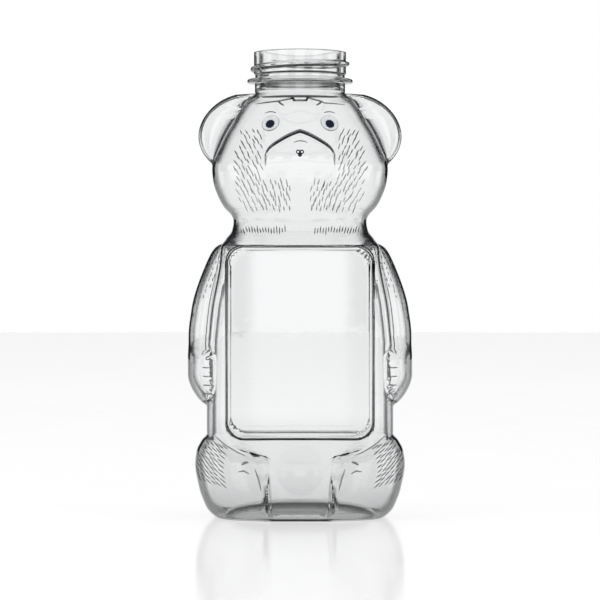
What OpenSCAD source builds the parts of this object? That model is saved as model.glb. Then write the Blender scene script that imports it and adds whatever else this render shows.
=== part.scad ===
// Clear blow-moulded bear bottle with a screw neck.
// The wall is one surface, worked out ring by ring, and is split in level planes
// into a base, a torso, a head and the thick neck finish. Front is -Y, up is +Z.

/* [Neck finish] */
// Diameter over the crest of the screw thread
thread_d = 37.4; // [36.4:0.1:38.4]
// Outside diameter of the neck wall that carries the thread
neck_d = 34.8; // [34:0.1:35.6]
// Bore of the mouth
bore_d = 31.4; // [29:0.1:32]
// Height of the finish from the support ring to the sealing land
finish_h = 10.3; // [9.5:0.1:12]
// Rise of the thread in one turn
thread_pitch = 4.2; // [3.6:0.1:4.6]
// Length of the thread in degrees
thread_sweep = 360; // [300:10:420]
// Diameter of the support ring
ring_d = 39.8; // [38:0.1:42]
// Thickness of the support ring at its edge
ring_t = 1.3; // [0.8:0.1:2]
// Diameter of the plain neck under the support ring
stub_d = 34.1; // [33.4:0.1:34.8]
// Height of the plain neck under the support ring
stub_h = 4; // [3:0.1:6]

/* [Heights of the wall] */
// Height of the base part, up to the split in the waist
base_h = 34; // [32:0.5:38]
// Height of the torso part, up to the split in the collar
torso_h = 77; // [72:0.5:84]
// Height of the head part, up to the neck
head_h = 48; // [45:0.5:52]

/* [Widths of the wall] */
// Width of the standing face
foot_w = 63.4; // [58:0.2:66]
// Width over the thighs
thigh_w = 79; // [76:0.2:84]
// Width of the waist
waist_w = 69.8; // [67:0.2:73]
// Width of the torso at the shoulders, without the arms
shoulder_w = 59.6; // [58:0.2:63]
// Width over both arms
arm_span = 84.2; // [81:0.2:88]
// Width of the collar
collar_w = 50.2; // [46:0.2:54]
// Width of the head, without the ears
head_w = 66.4; // [63:0.2:69]
// Width over both ears
ear_span = 76.6; // [73:0.2:80]

/* [Depths of the wall] */
// Depth over the feet and the tail, which the muzzle reaches too
body_d = 66; // [63:0.2:69]
// Depth of the standing face
foot_d = 58; // [54:0.2:60]
// Depth over the thighs, without the feet
thigh_d = 61.6; // [60:0.2:63]
// Depth of the torso
torso_d = 58; // [56:0.2:60]
// Depth of the collar
collar_d = 46.8; // [44:0.2:50]
// Depth of the head
head_d = 58; // [55:0.2:60]
// Thickness of the blown wall
wall = 0.55; // [0.4:0.05:0.9]

/* [Label panels] */
// Width of each label panel
panel_w = 53.6; // [48:0.2:54]
// Height of each label panel
panel_h = 70.3; // [64:0.1:71]
// Corner radius of each label panel
panel_r = 6; // [3:0.5:9]
// Depth of each label panel below the belly
panel_recess = 1; // [0.6:0.1:1.4]
// Radius that each label panel is bowed to
panel_bow = 180; // [150:5:240]

/* [Limbs and face] */
// Half the depth of an arm
arm_reach = 14; // [12:0.5:15]
// How far a paw reaches forward of the mould's parting plane
paw_reach = 24; // [20:0.5:25]
// Thickness of an ear
ear_t = 8.4; // [6:0.2:10]
// Width of the muzzle
muzzle_w = 26; // [24:0.2:28]
// Height of the muzzle, from the chin to its peak
muzzle_h = 18.8; // [17:0.2:20]
// Height of the sloping shelf over the muzzle
muzzle_shelf = 1.8; // [1.2:0.1:2.6]
// Gap between the two feet
foot_gap = 20.4; // [17:0.2:24]
// Distance between the centres of the eyes
eye_gap = 21.8; // [20:0.2:24]
// Diameter of each raised eye
eye_d = 6.9; // [6:0.1:8]
// How far each raised eye stands proud of the face
eye_proud = 0.35; // [0.2:0.05:0.6]
// Diameter of each printed pupil
pupil_d = 3.6; // [3:0.1:4.5]
// How far the printed pupils sit below the middle of the eyes
pupil_drop = 0.5; // [0:0.1:1]
// Width of the printed nose
nose_print_w = 3; // [2.4:0.1:4.2]
// Thickness of the printed ink
ink_t = 0.08; // [0.04:0.01:0.15]
// Diameter of the round tail
tail_d = 17; // [14:0.5:20]
// Depth of the hollow under the base
punt_h = 5.5; // [4:0.1:7]

/* [Hidden] */
$fn = 72;

plastic = [0.93, 0.95, 0.96, 0.35];
ink = [0.04, 0.06, 0.16];

collar_z = base_h + torso_h;
neck_z = collar_z + head_h;
ring_z = neck_z + stub_h;
finish_z = ring_z + ring_t;
lip_z = finish_z + finish_h;

// Places that the limbs and the panels are set out from
hip_z = base_h - 2.5;
panel_mid_z = hip_z + 34.1;
shoulder_z = collar_z - 8.6;
elbow_z = collar_z - 34;
palm_z = base_h + 19;
paw_end_z = base_h + 8;
ear_x = 20;
ear_z = neck_z - 16;
chin_z = collar_z + 13;
eye_z = collar_z + 35.7;
nose_z = collar_z + 24.2;
tail_z = 15;
thigh_z = 20;

function clamp01(t) = min(1, max(0, t));
function ease(t) = let (c = clamp01(t)) c * c * (3 - 2 * c);
function mix(a, b, t) = a + (b - a) * t;

// Quarter of a superellipse: 1 at u = 0 and 0 from u = 1 on
function dome(u, p) = abs(u) >= 1 ? 0 : pow(1 - pow(abs(u), p), 1 / p);

// A smooth curve through stations, which never overshoots them. Column 0 is the height
function rise(s, c, i) = (s[i + 1][c] - s[i][c]) / (s[i + 1][0] - s[i][0]);
function slope(s, c, i) =
    i == 0 ? rise(s, c, 0)
    : i == len(s) - 1 ? rise(s, c, i - 1)
    : let (before = rise(s, c, i - 1), after = rise(s, c, i))
      before * after <= 0 ? 0 : 2 * before * after / (before + after);
function span(s, z) = max([0, for (i = [1:len(s) - 2]) if (z >= s[i][0]) i]);
function curve(s, c, z) =
    let (i = span(s, z), h = s[i + 1][0] - s[i][0], t = clamp01((z - s[i][0]) / h))
    (1 + 2 * t) * pow(1 - t, 2) * s[i][c] + t * pow(1 - t, 2) * h * slope(s, c, i)
    + t * t * (3 - 2 * t) * s[i + 1][c] - t * t * (1 - t) * h * slope(s, c, i + 1);

// Stations of the plain wall: height, half width, half depth, squareness
stations = [
    [0, foot_w / 2, foot_d / 2, 2.7],
    [1.3, mix(foot_w, thigh_w, 0.22) / 2, mix(foot_d, thigh_d, 0.3) / 2, 2.7],
    [3, mix(foot_w, thigh_w, 0.42) / 2, mix(foot_d, thigh_d, 0.55) / 2, 2.7],
    [6, mix(foot_w, thigh_w, 0.6) / 2, mix(foot_d, thigh_d, 0.75) / 2, 2.8],
    [10.5, mix(foot_w, thigh_w, 0.8) / 2, mix(foot_d, thigh_d, 0.9) / 2, 2.8],
    [thigh_z, thigh_w / 2, thigh_d / 2, 2.9],
    [hip_z - 6.5, mix(waist_w, thigh_w, 0.86) / 2, mix(torso_d, thigh_d, 0.9) / 2, 3.2],
    [hip_z - 2, mix(waist_w, thigh_w, 0.36) / 2, mix(torso_d, thigh_d, 0.5) / 2, 4],
    [hip_z, waist_w / 2, mix(torso_d, thigh_d, 0.1) / 2, 4.6],
    [base_h, waist_w / 2, torso_d / 2, 5],
    [elbow_z - 15, mix(shoulder_w, waist_w, 0.93) / 2, torso_d / 2, 5.2],
    [elbow_z, mix(shoulder_w, waist_w, 0.68) / 2, torso_d / 2, 6],
    [shoulder_z - 6, shoulder_w / 2, torso_d / 2, 7],
    [shoulder_z - 1.2, shoulder_w / 2 - 0.3, mix(collar_d, torso_d, 0.94) / 2, 5.8],
    [shoulder_z + 1.8, mix(collar_w, shoulder_w, 0.62) / 2, mix(collar_d, torso_d, 0.6) / 2, 3.6],
    [collar_z - 3.4, mix(collar_w, shoulder_w, 0.12) / 2, mix(collar_d, torso_d, 0.15) / 2, 2.6],
    [collar_z, collar_w / 2, collar_d / 2, 2.3],
    [collar_z + 2, mix(collar_w, head_w, 0.08) / 2, mix(collar_d, head_d, 0.08) / 2, 2.2],
    [collar_z + 5, mix(collar_w, head_w, 0.42) / 2, mix(collar_d, head_d, 0.42) / 2, 2.2],
    [collar_z + 9, mix(collar_w, head_w, 0.7) / 2, mix(collar_d, head_d, 0.7) / 2, 2.2],
    [collar_z + 14, mix(collar_w, head_w, 0.92) / 2, mix(collar_d, head_d, 0.92) / 2, 2.2],
    [collar_z + 19.5, head_w / 2, head_d / 2, 2.2],
    [neck_z - 19, mix(stub_d, head_w, 0.8) / 2, mix(stub_d, head_d, 0.8) / 2, 2.2],
    [neck_z - 14, mix(stub_d, head_w, 0.65) / 2, mix(stub_d, head_d, 0.66) / 2, 2.15],
    [neck_z - 9, mix(stub_d, head_w, 0.46) / 2, mix(stub_d, head_d, 0.48) / 2, 2.1],
    [neck_z - 5, mix(stub_d, head_w, 0.31) / 2, mix(stub_d, head_d, 0.34) / 2, 2.05],
    [neck_z - 2.4, mix(stub_d, head_w, 0.19) / 2, mix(stub_d, head_d, 0.22) / 2, 2],
    [neck_z - 0.8, mix(stub_d, head_w, 0.06) / 2, mix(stub_d, head_d, 0.07) / 2, 2],
    [neck_z, stub_d / 2, stub_d / 2, 2],
];

// Upper edge of the legs on the belly: distance from the middle, height
leg_edge = [
    [foot_gap / 2, 0],
    [foot_gap / 2 + 2, hip_z - 14],
    [foot_gap / 2 + 4, hip_z - 9.6],
    [foot_gap / 2 + 7.2, hip_z - 6.9],
    [foot_gap / 2 + 11.6, hip_z - 9.6],
    [foot_gap / 2 + 17.6, hip_z - 6],
    [foot_gap / 2 + 22.6, hip_z - 1.4],
    [waist_w / 2 + 2, hip_z],
];
leg_edge_blend = 1.6;

// How far the arm stands out of the torso at a height
function arm_swell(z) =
    let (torso_half = curve(stations, 1, z), upper = arm_span / 2 - curve(stations, 1, elbow_z) - 1)
    z >= elbow_z ? upper * dome((z - elbow_z) / (shoulder_z - elbow_z), 2)
    : z >= palm_z ? mix(arm_span / 2 - torso_half, upper, ease((z - elbow_z + 12) / 12))
    : (arm_span / 2 - torso_half) * dome((palm_z - z) / (palm_z - paw_end_z), 1.5);

// How far the arm reaches to the front and to the back of the parting plane
function limb_end(z) =
    z > palm_z ? dome((z - elbow_z) / (shoulder_z + 1 - elbow_z) * (z > elbow_z ? 1 : 0), 3)
    : dome((palm_z - z) / (palm_z - paw_end_z + 1), 2.4);
function arm_front(z) = limb_end(z) * mix(paw_reach, arm_reach, ease((z - palm_z - 7) / 6));
function arm_back(z) = limb_end(z) * arm_reach;
function arm(y, z) =
    z <= paw_end_z || z >= shoulder_z ? 0
    : let (front = arm_front(z), back = arm_back(z))
      arm_swell(z) * dome((y - (back - front) / 2) / ((back + front) / 2), 2.3);

// Outline of the ear seen from the front, and how far it stands out of the head
function ear_edge(z) =
    let (half = ear_span / 2 - ear_x)
    ear_x + half * (z > ear_z ? dome((z - ear_z) / 16.2, 1.9) : dome((ear_z - z) / 15, 2));
function ear(y, z) =
    abs(z - ear_z) >= 16 ? 0
    : max(0, ear_edge(z) - curve(stations, 1, z)) * dome(2 * y / ear_t, 4);

// Edge of the muzzle: a rounded peak over a shallow chin. u is 1 at its sides
function muzzle_drop(u) = muzzle_h * (0.37 * pow(min(u, 1), 1.3) + 0.12 * pow(min(u, 1), 14));
function muzzle_top(u) = chin_z + muzzle_h - muzzle_drop(u);
function muzzle_bottom(u) = chin_z + 0.33 * muzzle_h * u * u;

// Push of the muzzle: a shelf over a blunt snout that rounds in to the chin
function muzzle(x, z) =
    let (
        u = 2 * abs(x) / muzzle_w,
        v = u < 1 ? (z - muzzle_bottom(u)) / (muzzle_top(u) - muzzle_bottom(u)) : 0,
        over = u < 1 ? (z - muzzle_top(u)) / muzzle_shelf : 1
    )
    v <= 0 || over >= 1 ? 0
    : (body_d / 2 - curve(stations, 2, nose_z)) * dome(u, 2)
      * (over > 0 ? 1 - over : 1 - pow(1 - min(v * 1.35, 1), 2) - 0.12 * max(0, v - 0.74) / 0.26)
      * (over > 0 ? 0.88 : 1);

// 1 inside a label panel and 0 outside it, with a narrow slope between
function panel(x, z) =
    let (
        dx = abs(x) - panel_w / 2 + panel_r,
        dz = abs(z - panel_mid_z) - panel_h / 2 + panel_r,
        out = norm([max(dx, 0), max(dz, 0)]) + min(max(dx, dz), 0) - panel_r
    )
    ease(0.5 - out / 1.2);
function panel_face(x) = torso_d / 2 - panel_recess - x * x / (2 * panel_bow);

// 1 on the belly and 0 on the legs, at the front
function belly(x, z) =
    z >= base_h ? 1
    : abs(x) >= waist_w / 2 ? 0
    : ease((z - (abs(x) < foot_gap / 2 ? -leg_edge_blend * 4 * (1 - 2 * abs(x) / foot_gap)
                                       : curve(leg_edge, 1, abs(x)))) / leg_edge_blend);
function tail(x, z) =
    (body_d / 2 - curve(stations, 2, tail_z))
    * pow(dome(norm([x, z - tail_z]) * 2 / tail_d, 2), 1.4);
function foot(x, z) =
    (body_d - thigh_d) / 2 * (1 - belly(x, z))
    * ease((waist_w / 2 - abs(x)) / 9) * ease(z / 6 + 0.1);

// Point of a plain ring at an angle
function oval(ring, t) =
    let (r = pow(pow(abs(cos(t)) / ring[1], ring[3]) + pow(abs(sin(t)) / ring[2], ring[3]), -1 / ring[3]))
    [r * cos(t), r * sin(t)];

// Angle of the point of a plain ring at a given depth, or at a given width
function at_depth(ring, y) =
    let (d = min(y, 0.8 * ring[2])) atan2(d, ring[1] * dome(d / ring[2], ring[3]));
function at_width(ring, x) =
    let (d = min(x, 0.85 * ring[1])) atan2(ring[2] * dome(d / ring[1], ring[3]), d);

// The moulded surface at an angle of a plain ring
function skin(ring, t) =
    let (
        z = ring[0],
        plain = oval(ring, t),
        front = plain.y < 0,
        bare = front && z < base_h ? mix(plain, oval(plain_ring(base_h), t), belly(plain.x, z)) : plain,
        flat = mix(bare.y, sign(bare.y) * panel_face(bare.x), panel(bare.x, z)),
        push = z > collar_z ? (front ? -muzzle(bare.x, z) : 0)
             : z < base_h ? (front ? -foot(plain.x, z) : tail(bare.x, z)) : 0
    )
    [bare.x + sign(bare.x) * (arm(bare.y, z) + ear(bare.y, z)), flat + push, z];

// Rings near the face dip towards the sides of the muzzle, so that they follow its edge
function dip(x, z) =
    let (
        peak = chin_z + muzzle_h,
        u = 2 * abs(x) / muzzle_w,
        beside = u < 1 ? muzzle_drop(u) : muzzle_drop(1) * (1 - ease((u - 1) / 0.9)),
        near = z < peak ? (z - collar_z - 2) / (peak - collar_z - 2)
             : z < peak + muzzle_shelf ? 1 : 1 - (z - peak - muzzle_shelf) / (neck_z - 5 - peak - muzzle_shelf)
    )
    beside * clamp01(near);

// Widths that the columns of points follow: the side limb, then the front feature
side_share = [0, 0.4, 0.75, 0.94, 1.08];
front_share = [1.05, 0.97, 0.78, 0.52, 0.26];
corner_steps = 5;
function side_width(z, front) =
    z > shoulder_z ? mix(arm_reach, ear_t / 2, ease((z - shoulder_z) / 22))
    : z > paw_end_z + 2 ? (front ? arm_front(z) : arm_back(z)) : arm_reach;
function front_width(z) =
    mix(mix(foot_gap / 2 + 1, panel_w / 2, ease((z - hip_z + 10) / 8)), muzzle_w / 2,
        ease((z - collar_z + 6) / 14));
function plain_ring(z) = [for (c = [0:3]) c == 0 ? z : curve(stations, c, z)];

// Height and angle of each point of a ring, over a quarter of its way round
function quarter(z, front) =
    let (
        ring = plain_ring(z),
        widths = [for (s = concat(front_share, [0])) s * front_width(z)],
        side = [for (s = side_share) [z, at_depth(ring, s * side_width(z, front))]],
        ahead = [for (x = widths)
            let (low = front ? z - dip(x, z) : z) [low, at_width(plain_ring(low), x)]],
        last = side[len(side) - 1],
        step = (ahead[0] - last) / corner_steps
    )
    concat(side, [for (i = [1:corner_steps - 1]) last + i * step], ahead);
function reversed(list) = [for (i = [len(list) - 1:-1:0]) list[i]];
function ring_of_points(z) =
    let (rear = quarter(z, false), fore = quarter(z, true), n = len(rear) - 1)
    concat(
        rear, [for (i = [n - 1:-1:0]) [rear[i][0], 180 - rear[i][1]]],
        [for (i = [1:n]) [fore[i][0], 180 + fore[i][1]]],
        [for (i = [n - 1:-1:1]) [fore[i][0], 360 - fore[i][1]]]
    );

// Heights of the rings, from the standing face to the neck
base_rings = [0, 1.3, 3.2, 6.5, 11, 16, 20, hip_z - 8.5, hip_z - 6, hip_z - 3.5,
    panel_mid_z - panel_h / 2 - 0.6, panel_mid_z - panel_h / 2 + 0.6, base_h - 1.6, base_h];
torso_rings = [base_h + 4, paw_end_z, paw_end_z + 1.5, paw_end_z + 4, paw_end_z + 7.5,
    palm_z + 1, palm_z + 7, palm_z + 10, palm_z + 13, elbow_z - 4, elbow_z + 1, elbow_z + 7,
    elbow_z + 12, elbow_z + 17, shoulder_z - 4.4, panel_mid_z + panel_h / 2 - 0.6,
    panel_mid_z + panel_h / 2 + 0.6, shoulder_z + 0.8, shoulder_z + 3, collar_z - 3, collar_z];
head_rings = concat(
    [for (dz = [2, 4.5, 8]) collar_z + dz],
    [for (share = [0, 0.12, 0.28, 0.46, 0.64, 0.82, 0.93, 1]) chin_z + share * muzzle_h],
    [chin_z + muzzle_h + muzzle_shelf / 2, chin_z + muzzle_h + muzzle_shelf],
    [for (dz = [11, 8.5, 6.5, 5, 3.4, 2.2, 1.2, 0.5, 0]) neck_z - dz]
);
heights = concat(base_rings, torso_rings, head_rings);
base_end = len(base_rings) - 1;
torso_end = base_end + len(torso_rings);
head_end = len(heights) - 1;

// Rings of the punt under the base: share of the standing face, share of its depth
punt_rings = [[0.1, 1], [0.35, 0.93], [0.62, 0.72], [0.83, 0.3], [0.9, 0]];

function wall_ring(z) = [for (p = ring_of_points(z)) skin(plain_ring(p[0]), p[1])];
foot_outline = wall_ring(0);
function punt_ring(p) = [for (q = foot_outline) [q.x * p[0], q.y * p[0], punt_h * p[1]]];

// Every ring of the outside, from the middle of the punt to the neck
outside = concat([for (p = punt_rings) punt_ring(p)], [for (z = heights) wall_ring(z)]);
punt_count = len(punt_rings);
sides = len(foot_outline);

function unit(v) = v / max(norm(v), 1e-9);
function facing(i, j) =
    let (
        up = outside[min(i + 1, len(outside) - 1)][j] - outside[max(i - 1, 0)][j],
        round = outside[i][(j + 1) % sides] - outside[i][(j + sides - 1) % sides]
    )
    unit(cross(round, up));
// A split ring is offset in its own plane, so that both parts share a level rim
function inner_point(i, j, level) =
    let (n = facing(i, j), p = outside[i][j])
    level ? p - wall * unit([n.x, n.y, 0]) : p - wall * n;

// A closed wall between two rings of the outside
module wall_part(first, last, closed_below) {
    outer = [for (i = [first:last]) each outside[i]];
    inner = [for (i = [first:last], j = [0:sides - 1])
        inner_point(i, j, (i == first && !closed_below) || i == last)];
    rows = last - first;
    half = (rows + 1) * sides;
    middle = [[0, 0, punt_h], [0, 0, punt_h + wall]];
    function a(i, j) = i * sides + j % sides;
    function b(i, j) = half + a(i, j);
    shell = [for (i = [0:rows - 1], j = [0:sides - 1]) each [
        [a(i, j), a(i + 1, j), a(i + 1, j + 1)], [a(i, j), a(i + 1, j + 1), a(i, j + 1)],
        [b(i, j), b(i + 1, j + 1), b(i + 1, j)], [b(i, j), b(i, j + 1), b(i + 1, j + 1)]
    ]];
    top = [for (j = [0:sides - 1]) each [
        [a(rows, j), b(rows, j), b(rows, j + 1)], [a(rows, j), b(rows, j + 1), a(rows, j + 1)]
    ]];
    bottom = closed_below
        ? [for (j = [0:sides - 1]) each [[a(0, j), a(0, j + 1), 2 * half], [b(0, j + 1), b(0, j), 2 * half + 1]]]
        : [for (j = [0:sides - 1]) each [[a(0, j), b(0, j + 1), b(0, j)], [a(0, j), a(0, j + 1), b(0, j + 1)]]];
    polyhedron(concat(outer, inner, closed_below ? middle : []), concat(shell, top, bottom));
}

// The standing face is cut level
module base_shell() {
    reach = arm_span;
    color(plastic) intersection() {
        wall_part(0, punt_count + base_end, true);
        translate([-reach, -reach, 0]) cube([2 * reach, 2 * reach, base_h]);
    }
}

module torso_shell() {
    color(plastic) wall_part(punt_count + base_end, punt_count + torso_end, false);
}

// Seat of a face feature: a place on the skin and the way that it faces
function face_place(x, z) =
    let (
        ring = plain_ring(z),
        over = plain_ring(z + 1),
        t = 360 - at_width(ring, abs(x)),
        p = skin(ring, t),
        across = skin(ring, t + 2) - skin(ring, t - 2),
        up = skin(over, 360 - at_width(over, abs(x))) - p,
        n = unit(cross(across, up)),
        side = x < 0 ? -1 : 1
    )
    [[side * p.x, p.y, p.z], [side * n.x, n.y, n.z]];
module on_face(place) {
    n = place[1];
    translate(place[0]) rotate([0, acos(n.z), atan2(n.y, n.x)]) children();
}
seat_sink = 0.3;
left_eye = face_place(-eye_gap / 2, eye_z);
right_eye = face_place(eye_gap / 2, eye_z);
nose_seat = face_place(0, nose_z);

module head_shell() {
    color(plastic) {
        union() {
            wall_part(punt_count + torso_end, punt_count + head_end, false);
            for (eye = [left_eye, right_eye])
                on_face(eye) translate([0, 0, -seat_sink]) cylinder(d = eye_d, h = seat_sink + eye_proud);
        }
    }
}

module neck_wall() {
    bottom_bore = stub_d / 2 - wall;
    rotate_extrude()
        polygon([
            [bottom_bore, neck_z], [stub_d / 2, neck_z], [stub_d / 2, ring_z],
            [ring_d / 2 - 0.2, ring_z + 0.1], [ring_d / 2, ring_z + 0.4], [ring_d / 2, finish_z - 0.2],
            [ring_d / 2 - 0.2, finish_z], [neck_d / 2 - 0.5, finish_z], [neck_d / 2 - 0.5, finish_z + 1.9],
            [neck_d / 2, finish_z + 2.2], [neck_d / 2, lip_z - 0.3], [neck_d / 2 - 0.3, lip_z],
            [bore_d / 2 + 0.2, lip_z], [bore_d / 2, lip_z - 0.2], [bore_d / 2, ring_z],
        ]);
}

// Thread: a helix of trapezoid sections that fade in and out at both ends
thread_start = 138;
thread_z = finish_z + 3.4;
thread_steps = 60;
thread_root = 2.4;
thread_crest = 0.9;
thread_fade = 24;
function thread_section(k) =
    let (
        along = k * thread_sweep / thread_steps,
        grow = clamp01(min(along, thread_sweep - along) / thread_fade + 0.05),
        turn = thread_start + along,
        z = thread_z + thread_pitch * along / 360,
        deep = neck_d / 2 - 0.4,
        crest = neck_d / 2 + (thread_d - neck_d) / 2 * grow
    )
    [for (q = [[deep, -thread_root / 2], [crest, -thread_crest / 2], [crest, thread_crest / 2], [deep, thread_root / 2]])
        [q.x * cos(turn), q.x * sin(turn), z + q.y]];
module neck_thread() {
    points = [for (k = [0:thread_steps]) each thread_section(k)];
    sides4 = [for (k = [0:thread_steps - 1], i = [0:3])
        let (n = (i + 1) % 4) each [
            [4 * k + i, 4 * k + n, 4 * k + 4 + n], [4 * k + i, 4 * k + 4 + n, 4 * k + 4 + i]
        ]];
    e = 4 * thread_steps;
    polyhedron(points, concat(sides4, [[3, 2, 1, 0], [e, e + 1, e + 2, e + 3]]));
}

module neck_finish() {
    color(plastic) {
        union() {
            neck_wall();
            neck_thread();
        }
    }
}

module pupil(eye) {
    color(ink) on_face(eye) translate([pupil_drop, 0, eye_proud]) cylinder(d = pupil_d, h = ink_t);
}

module left_pupil() {
    pupil(left_eye);
}

module right_pupil() {
    pupil(right_eye);
}

// Two nostrils over a small round tip
module nose_print() {
    lobe = nose_print_w / 3.6;
    color(ink) on_face(nose_seat) linear_extrude(height = ink_t) {
        difference() {
            union() {
                for (side = [-1, 1]) translate([-lobe / 3, side * lobe * 0.8]) circle(r = lobe);
                translate([lobe, 0]) circle(r = lobe * 0.9);
            }
            for (side = [-1, 1]) translate([-lobe / 3, side * lobe * 0.85]) circle(r = lobe * 0.45);
        }
    }
}

neck_finish();
head_shell();
torso_shell();
base_shell();
left_pupil();
right_pupil();
nose_print();
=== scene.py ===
import math
import random

import bpy
import numpy as np
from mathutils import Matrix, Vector
from mathutils.bvhtree import BVHTree


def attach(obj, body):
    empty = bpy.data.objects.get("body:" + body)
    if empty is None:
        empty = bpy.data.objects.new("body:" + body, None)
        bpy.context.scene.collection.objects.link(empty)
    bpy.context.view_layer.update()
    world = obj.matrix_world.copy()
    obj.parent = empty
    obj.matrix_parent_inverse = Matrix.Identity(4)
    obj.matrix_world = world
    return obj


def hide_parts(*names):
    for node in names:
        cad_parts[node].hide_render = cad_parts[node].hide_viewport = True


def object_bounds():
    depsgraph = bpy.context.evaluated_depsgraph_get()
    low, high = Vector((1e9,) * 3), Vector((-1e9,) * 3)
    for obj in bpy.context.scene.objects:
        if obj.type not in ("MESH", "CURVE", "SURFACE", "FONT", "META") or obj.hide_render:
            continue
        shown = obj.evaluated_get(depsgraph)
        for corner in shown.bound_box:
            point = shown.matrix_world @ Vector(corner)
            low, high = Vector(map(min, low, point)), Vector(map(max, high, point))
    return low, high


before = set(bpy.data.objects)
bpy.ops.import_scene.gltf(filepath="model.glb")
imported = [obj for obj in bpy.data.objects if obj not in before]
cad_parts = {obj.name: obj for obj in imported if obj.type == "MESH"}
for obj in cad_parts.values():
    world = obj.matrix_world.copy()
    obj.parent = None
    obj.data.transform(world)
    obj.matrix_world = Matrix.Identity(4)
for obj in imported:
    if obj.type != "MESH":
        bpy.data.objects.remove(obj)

bl_info = {
    "name": "Clear bear bottle",
    "version": (1, 0, 0),
    "blender": (4, 5, 0),
    "location": "View3D > Sidebar > Bear Bottle",
    "description": "Builds the dressed bear bottle around its packed frame",
    "category": "Object",
}

CAD_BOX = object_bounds()
BODY = "root"
MM = 0.001
# Keeps a division away from zero
TINY = 1e-6

# Share of the bottle's height, and the share of the plastic's colour that is kept there: painted shade that
# darkens the plastic towards the base
HEIGHT_PAINTED_SHADE = [
    (0.0, 0.74), (0.08, 0.88), (0.17, 0.92), (0.22, 0.99),
    (0.57, 0.99), (0.64, 0.98), (0.88, 0.99), (0.93, 0.98),
]
# Where the painted dark edge of each clear finish starts and is full, from 0 square on to 1 along the wall,
# and the scale of its ripple. The dark edge is painted shade, standing in for the dark reflections seen along
# a clear wall; the finishes of the raised lines turn dark almost from square on.
CLEAR_EDGE_SHADE_AND_RIPPLE = {
    "clear blown plastic": (0.54, 0.78, 90.0),
    "pressed relief painted shade": (0.02, 0.3, 400.0),
    "steep fold painted shade": (0.0, 0.22, 400.0),
}
# Share of the light that passes the plastic into its shadow, the most roughness that it has, and
# the strength and the depth in metres of its ripple
SHADOW_PASS = 0.94
HAZE = 0.02
RIPPLE = (0.08, 0.0004)

# White boards round the studio: their number, the cosine and the rise at which they fade, and
# the level of the gaps between them and of the room that lights everything but the plastic
BOARD_COUNT = 8.0
BOARD_FADE = (-0.3, 0.15)
BOARD_TOP_FADE = (0.14, 0.26)
GAP_LEVEL = 0.03
ROOM_LEVEL = 0.75
# Place in metres, size in metres and power in watts of each lamp
LAMPS = {
    "key_light": ((-0.75, -0.6, 0.9), 0.6, 7.0),
    "fill_light": ((0.8, -0.5, 0.7), 0.7, 4.0),
}
LAMP_AIM = (0, 0, 0.08)
# Half the floor's width and its drop under the bottle, in metres, and the share of plain white
# in it where it is seen
FLOOR_HALF = 6.0
FLOOR_DROP = 0.0002
FLOOR_WHITE = 0.45

# How deep a raised line is set in the wall, in millimetres, and how slim its ends are
RIDGE_SINK = 0.2
RIDGE_TIP = 0.12
# Distance in metres from which the wall is sought
SEEK_FROM = 0.3
# Colour sockets of the Mix node, whose names its other kinds share
COLOUR_A, COLOUR_B, COLOUR_RESULT = 6, 7, 2


def length(label, millimetres, description):
    """A size in metres, given in millimetres."""
    return bpy.props.FloatProperty(
        name=label, description=description, default=millimetres * MM, min=0.0, precision=5,
        subtype="DISTANCE", unit="LENGTH")


def colour(label, rgb, description):
    """A linear colour."""
    return bpy.props.FloatVectorProperty(
        name=label, description=description, default=rgb, size=3, min=0.0, max=1.0, subtype="COLOR")


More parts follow.
